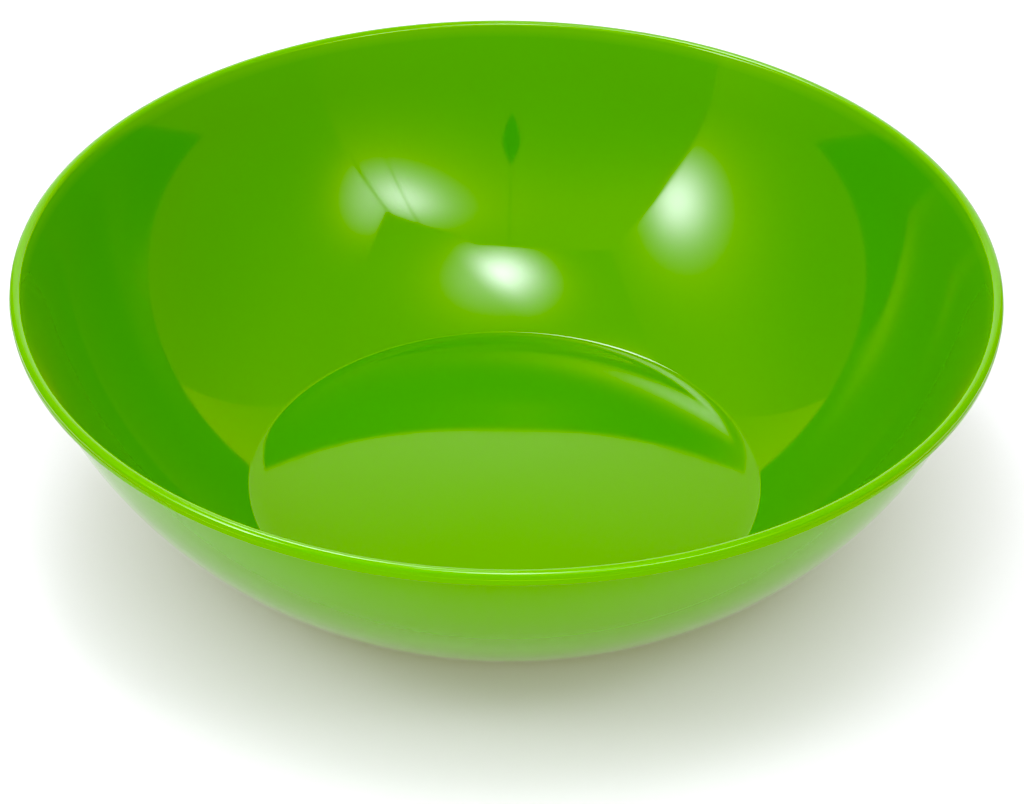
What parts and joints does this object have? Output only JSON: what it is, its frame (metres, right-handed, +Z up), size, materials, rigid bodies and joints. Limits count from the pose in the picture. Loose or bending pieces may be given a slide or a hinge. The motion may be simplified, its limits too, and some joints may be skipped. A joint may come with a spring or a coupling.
{
  "type": "mixing bowl",
  "caption": "Round glossy green plastic mixing bowl with a wide floor, a curved wall, a thick rounded rim and a rubber ring in its foot.",
  "frame": {"origin": "on the bowl's axis, at the flat underside of the non-slip ring, which is what the bowl rests on", "axes": "+Z up along the bowl's axis; X and Y are equivalent because the bowl is round"},
  "size_m": [0.28, 0.28, 0.084],
  "materials": {
    "green_plastic": "high gloss moulded, bright green all through",
    "ring_rubber": "matt, dark green"
  },
  "bodies": {
    "root": {"bowl": "green_plastic", "non_slip_ring": "ring_rubber"}
  },
  "joints": []
}
